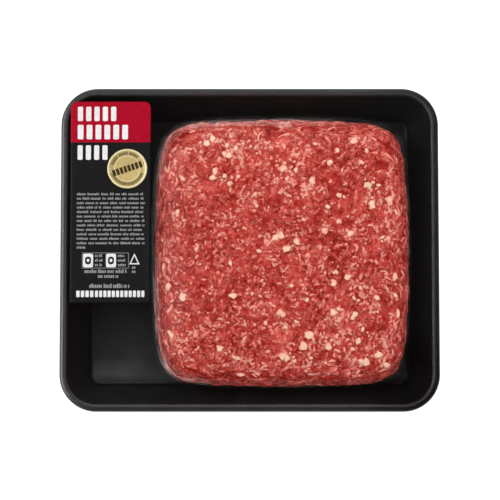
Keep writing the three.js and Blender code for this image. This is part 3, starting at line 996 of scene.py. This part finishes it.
def tray_material():
    """Black satin foam with a faintly uneven skin, a little lighter towards the right, with painted light and
    shade in its colour and a painted grey sheen on the floor at two corners.
    """
    material, tree, shader = new_material("tray_black")
    point = object_point(tree)
    cloud = speckle(point, 14, 3)
    place_on = node(tree, "SeparateXYZ", {"Vector": point})
    x, y, z = (place_on.outputs[axis] for axis in "XYZ")

    def between(value, low, high, to_low=0.0, to_high=1.0):
        """A share that grows from one place in millimetres to another."""
        return remap(value, low * MM, high * MM, to_low, to_high)

    def close_to(value, middle, width):
        """A share that is 1 at a place, in millimetres, and falls off on either side."""
        return bell(value, middle * MM, width * MM)

    def down_to(least, share):
        """A factor that falls from 1 as a share grows."""
        return remap(share, 0, 1, 1.0, least)

    floor = between(z, FLOOR_THICKNESS + 0.12, FLOOR_THICKNESS + 0.02)
    # Places of painted shade: the lower right corner of the floor, the lower part of the near wall at the
    # left, and the fillet round the floor on the left half.
    near_right = times(between(x, 60, 85), between(y, -45, -65))
    near_left = times(between(x, -45, -60), between(y, -82, -85), between(z, 26, 20))
    left_fillet = times(close_to(z, FILLET_HEIGHT, 2.2), between(x, 0, -60))
    # Painted light and shade: the base colour is lighter low down and darker on the floor and in the three
    # places above; the cloud alone is the foam's own unevenness.
    shade = times(
        between(z, 4, 26, 1.4, 1.0),
        uneven(cloud, 0.85, 1.15),
        down_to(0.72, floor),
        down_to(0.15, near_right),
        down_to(0.2, near_left),
        down_to(0.4, left_fillet),
    )
    black = blend_colour(between(x, -100, 60), BLACK_LEFT, BLACK_RIGHT)
    black = node(tree, "VectorMath", {0: black, "Scale": shade}, operation="SCALE").outputs[0]
    # Painted sheen: a grey patch on the floor at the lower left, brighter towards the left and strongest just
    # short of the near wall.
    front_sheen = times(
        between(y, -34, -62),
        between(x, -60, -94, 0.42, 1.0),
        between(y, -82.7, -78.5, 0.25, 1.0),
        between(y, -68, -78, 1.0, 5.2),
    )
    # Painted reflection: a small grey patch on the floor in the upper right corner.
    corner = times(close_to(x, 96, 6), close_to(y, 69, 12), 2.2)
    painted_sheen = times(plus(front_sheen, corner), floor, uneven(cloud, 0.13, 0.19), clamp=True)
    gloss = times(
        between(x, 70, 112, 0.4, 0.15),
        down_to(0.15, close_to(z, FILLET_HEIGHT, 4)),
        down_to(0.2, times(near_right, floor)),
    )
    rough = plus(uneven(cloud, 0.36, 0.46), times(close_to(z, FILLET_HEIGHT, 1.8), 0.25))
    colour = blend_colour(painted_sheen, black, SHEEN_GREY)
    set_inputs(shader, {"Base Color": colour, "Roughness": rough, "Specular IOR Level": gloss})
    add_bump(shader, speckle(point, 1.1, 2), 0.05, 0.4)
    return material


# Two sizes of fold: how often they part round the block, and how far apart they run in millimetres
FOLDS = ((3.0, 1.1), (5.5, 0.6))


def film_streaks(tree):
    """Long fine folds along the block's edge, their pale lines partly painted highlight, most at the lower
    left and along the head side, which face the light.
    """
    x, y, past = (attribute(tree, name) for name in ("heading_x", "heading_y", "past_block"))
    ridges = []
    for around, apart in FOLDS:
        place_on = node(tree, "CombineXYZ", {
            "X": times(x, around),
            "Y": times(y, around),
            "Z": maths("DIVIDE", past, apart),
        })
        cloud = node(tree, "TexNoise", {"Vector": place_on.outputs[0], "Scale": 1.0, "Detail": 1.0})
        ridges.append(bell(cloud.outputs["Fac"], 0.5, 0.034))
    # Painted highlight: the folds show most on the lower left and along the head side, and a faint painted
    # milky sheen lies along the head side.
    near = remap(plus(times(x, -0.85), times(y, -0.55)), 0.86, 0.98, 0.12, 1.0)
    head = remap(plus(times(y, 0.85), times(x, -0.35)), 0.5, 0.8, 0, 0.75)
    lines = plus(maths("MAXIMUM", *ridges), times(head, 0.07))
    near_band = times(bell(past, -2.4, 3.6), near)
    head_band = times(bell(past, -3.0, 3.4), head)
    return times(lines, maths("MAXIMUM", near_band, head_band), clamp=True)


def film_material():
    """Clear glossy film, paler along its folds, partly as painted highlight, and with a faint painted
    highlight line over the rim.
    """
    material, tree, shader = new_material("film_clear")
    streaks = film_streaks(tree)
    # A faint painted highlight line where the film lies over the start of the rim's inner round.
    rim_sheen_line = bell(attribute(tree, "rim_inset"), 3.5, 0.8)
    haze = plus(times(streaks, 0.34), times(rim_sheen_line, 0.02), 0.001, clamp=True)
    set_inputs(shader, {"Base Color": (1.0, 0.69, 0.64, 1), "Roughness": 0.3, "Alpha": haze})
    facing = node(tree, "LayerWeight", {"Blend": 0.5}).outputs["Facing"]
    shine = plus(times(maths("POWER", facing, 3.0), 0.006), times(streaks, 0.001))
    outside = remap(attribute(tree, "past_block"), -3.0, 0.0, 1.0, 0.04)
    shine = plus(times(shine, outside), 0.001)
    gloss = node(tree, "BsdfGlossy", {"Color": (0.9, 0.92, 0.95, 1), "Roughness": 0.12})
    mix = node(tree, "MixShader", {0: shine, 1: shader.outputs[0], 2: gloss.outputs[0]})
    tree.links.new(mix.outputs[0], tree.nodes["Material Output"].inputs["Surface"])
    relief = plus(streaks, times(speckle(object_point(tree), 2.6, 2), 0.6))
    add_bump(gloss, relief, 0.3, 0.5)
    return material


def print_material(name, colour, roughness, metallic=0.0):
    """Printed film or foil with a little unevenness in its colour and gloss."""
    material, tree, shader = new_material(name)
    point = object_point(tree)
    cloud = speckle(point, 2.5, 4)
    darker = tuple(channel * 0.85 for channel in colour)
    set_inputs(shader, {
        "Base Color": ramp(cloud, ((0.3, darker), (0.7, colour))),
        "Roughness": uneven(cloud, roughness - 0.05, roughness + 0.05),
        "Metallic": metallic,
        "Specular IOR Level": 0.03,
    })
    add_bump(shader, speckle(point, 0.5, 2), 0.02, 0.3)
    return material


# Stage

FLOOR_REACH = 3000.0
SOFT_BOXES = ((180, 16.5), (90, 8), (0, 4.5), (270, 7.5))
SKY = ((0.0, (1, 1, 1)), (0.80, (1, 1, 1)), (0.93, (0.12,) * 3), (1.0, (0.06,) * 3))


def make_floor():
    """The plain pale floor that the pack stands on."""
    material, _, shader = new_material("stage_white")
    set_inputs(shader, {
        "Base Color": (0.7, 0.7, 0.7, 1),
        "Roughness": 0.9,
        "Specular IOR Level": 0.1,
        "Emission Color": (1, 1, 1, 1),
        "Emission Strength": 0.7,
    })
    corners = np.array([(-1, -1, 0), (1, -1, 0), (1, 1, 0), (-1, 1, 0)]) * FLOOR_REACH
    floor = new_piece("floor", corners, [np.array([[0, 1, 2, 3]])], [material], smooth=False)


def aim(thing, target, azimuth, elevation, distance):
    """Puts a camera or a light in the scene, looking at a target from a bearing: 0 is the lower edge."""
    a, e = math.radians(azimuth), math.radians(elevation)
    back = Vector((math.sin(a) * math.cos(e), -math.cos(a) * math.cos(e), math.sin(e)))
    placed = bpy.data.objects.new(thing.name, thing)
    bpy.context.scene.collection.objects.link(placed)
    placed.location = (Vector(target) + back * distance) * MM
    placed.rotation_mode = "QUATERNION"
    placed.rotation_quaternion = (-back).to_track_quat("-Z", "Y")
    return placed


def make_camera():
    """The photograph's camera, almost straight above the pack."""
    data = bpy.data.cameras.new("camera")
    data.sensor_width = SENSOR_WIDTH
    data.lens = SENSOR_WIDTH * VIEW_DISTANCE / FRAME_WIDTH
    data.clip_start = 0.05
    bpy.context.scene.camera = aim(data, VIEW_AIM, 0, VIEW_ELEVATION, VIEW_DISTANCE)


def make_light(name, azimuth, elevation, distance, size, power, glossy=True, diffuse=True):
    """A soft box that looks at the pack."""
    data = bpy.data.lights.new(name, "AREA")
    data.shape = "RECTANGLE"
    data.size, data.size_y = size[0] * MM, size[1] * MM
    data.energy = power
    light = aim(data, (0, 0, 0), azimuth, elevation, distance)
    light.visible_glossy = glossy
    light.visible_diffuse = diffuse


def make_lights():
    """Even soft boxes all round, and two that show only as sheen on the left side and the rim."""
    for bearing, power in SOFT_BOXES:
        make_light(f"soft_box_{bearing}", bearing, 50, 1600, (1400, 1400), power, glossy=False)
    make_light("left_box", 268, 36, 1300, (1300, 1000), 37, diffuse=False)
    make_light("top_box", 180, 42, 1300, (1300, 500), 7, diffuse=False)


def make_world():
    """An even pale surround that is dark right overhead, where the camera's own card would be."""
    world = bpy.data.worlds.new("surround")
    bpy.context.scene.world = world
    world.use_nodes = True
    tree = world.node_tree
    direction = node(tree, "TexCoord").outputs["Generated"]
    height = node(tree, "SeparateXYZ", {"Vector": direction}).outputs["Z"]
    set_inputs(tree.nodes["Background"], {"Color": ramp(height, SKY), "Strength": 0.4})


# The whole scene

def make_meat():
    """The block of mince: a core, three kinds of strand, and fat in pieces and grains."""
    lean = meat_material("mince_lean", LEAN, 0.75, 0.34)
    fat = meat_material("mince_fat", FAT, 0.0, 0.38)
    make_core(lean)
    rng = np.random.default_rng(7)
    centres, _ = scattered(rng, 130, 30)
    make_strands(
        "lean_strands", lean, rng, scattered(rng, 2600, 14),
        length=(4, 8), radius=(1.2, 1.9), curl=0.30, sink=(0.5, 1.1), tones=(0.50, 0.13, 0.10),
    )
    make_strands(
        "pink_strands", lean, rng, scattered(rng, 2700, 20),
        length=(3, 6.5), radius=(0.8, 1.3), curl=0.36, sink=(0.35, 0.85), tones=(0.70, 0.14, 0.12),
    )
    make_strands(
        "thin_curls", lean, rng, gathered(rng, 2850, 20, centres, share=0.25, spread=5.0),
        length=(2.8, 6.0), radius=(0.62, 1.02), curl=0.40, sink=(0.1, 0.6), tones=(0.84, 0.14, 0.10),
    )
    make_blobs(
        "fat_pieces", fat, rng, gathered(rng, 120, 20, centres, share=0.42, spread=3.2),
        sizes=(1.25, 2.62), level=3, flatten=0.5, sink=(0.15, 0.5), rough=0.5, tones=(0.98, 0.1), fade=0.8,
    )
    make_blobs(
        "fat_grains", fat, rng, gathered(rng, 360, 20, centres, share=0.5, spread=3.2),
        sizes=(0.5, 1.25), level=2, flatten=0.6, sink=(0.1, 0.7), rough=0.5, tones=(0.6, 0.2), fade=0.6,
    )


def make_wrapping():
    """The film, the label with its print, and the seal."""
    make_film(film_material())
    make_label(
        print_material("label_black", (0.0105, 0.0105, 0.0105), 0.42),
        print_material("label_red", (0.375, 0.0025, 0.0175), 0.42),
    )
    make_print(
        print_material("ink_white", (0.78, 0.76, 0.76), 0.5),
        print_material("ink_grey", (0.29, 0.29, 0.29), 0.5),
    )
    make_seal(
        print_material("seal_gold", (0.54, 0.405, 0.165), 0.38, metallic=0.25),
        print_material("seal_pale_gold", (0.70, 0.60, 0.36), 0.38, metallic=0.25),
        print_material("seal_dull_gold", (0.46, 0.37, 0.16), 0.38, metallic=0.25),
        print_material("seal_ink", (0.05, 0.03, 0.012), 0.5),
        print_material("seal_faint_ink", (0.15, 0.10, 0.032), 0.5),
    )


bpy.context.scene.view_settings.view_transform = "Standard"
make_camera()
make_world()
make_lights()
make_floor()
make_tray(tray_material())
make_meat()
make_wrapping()
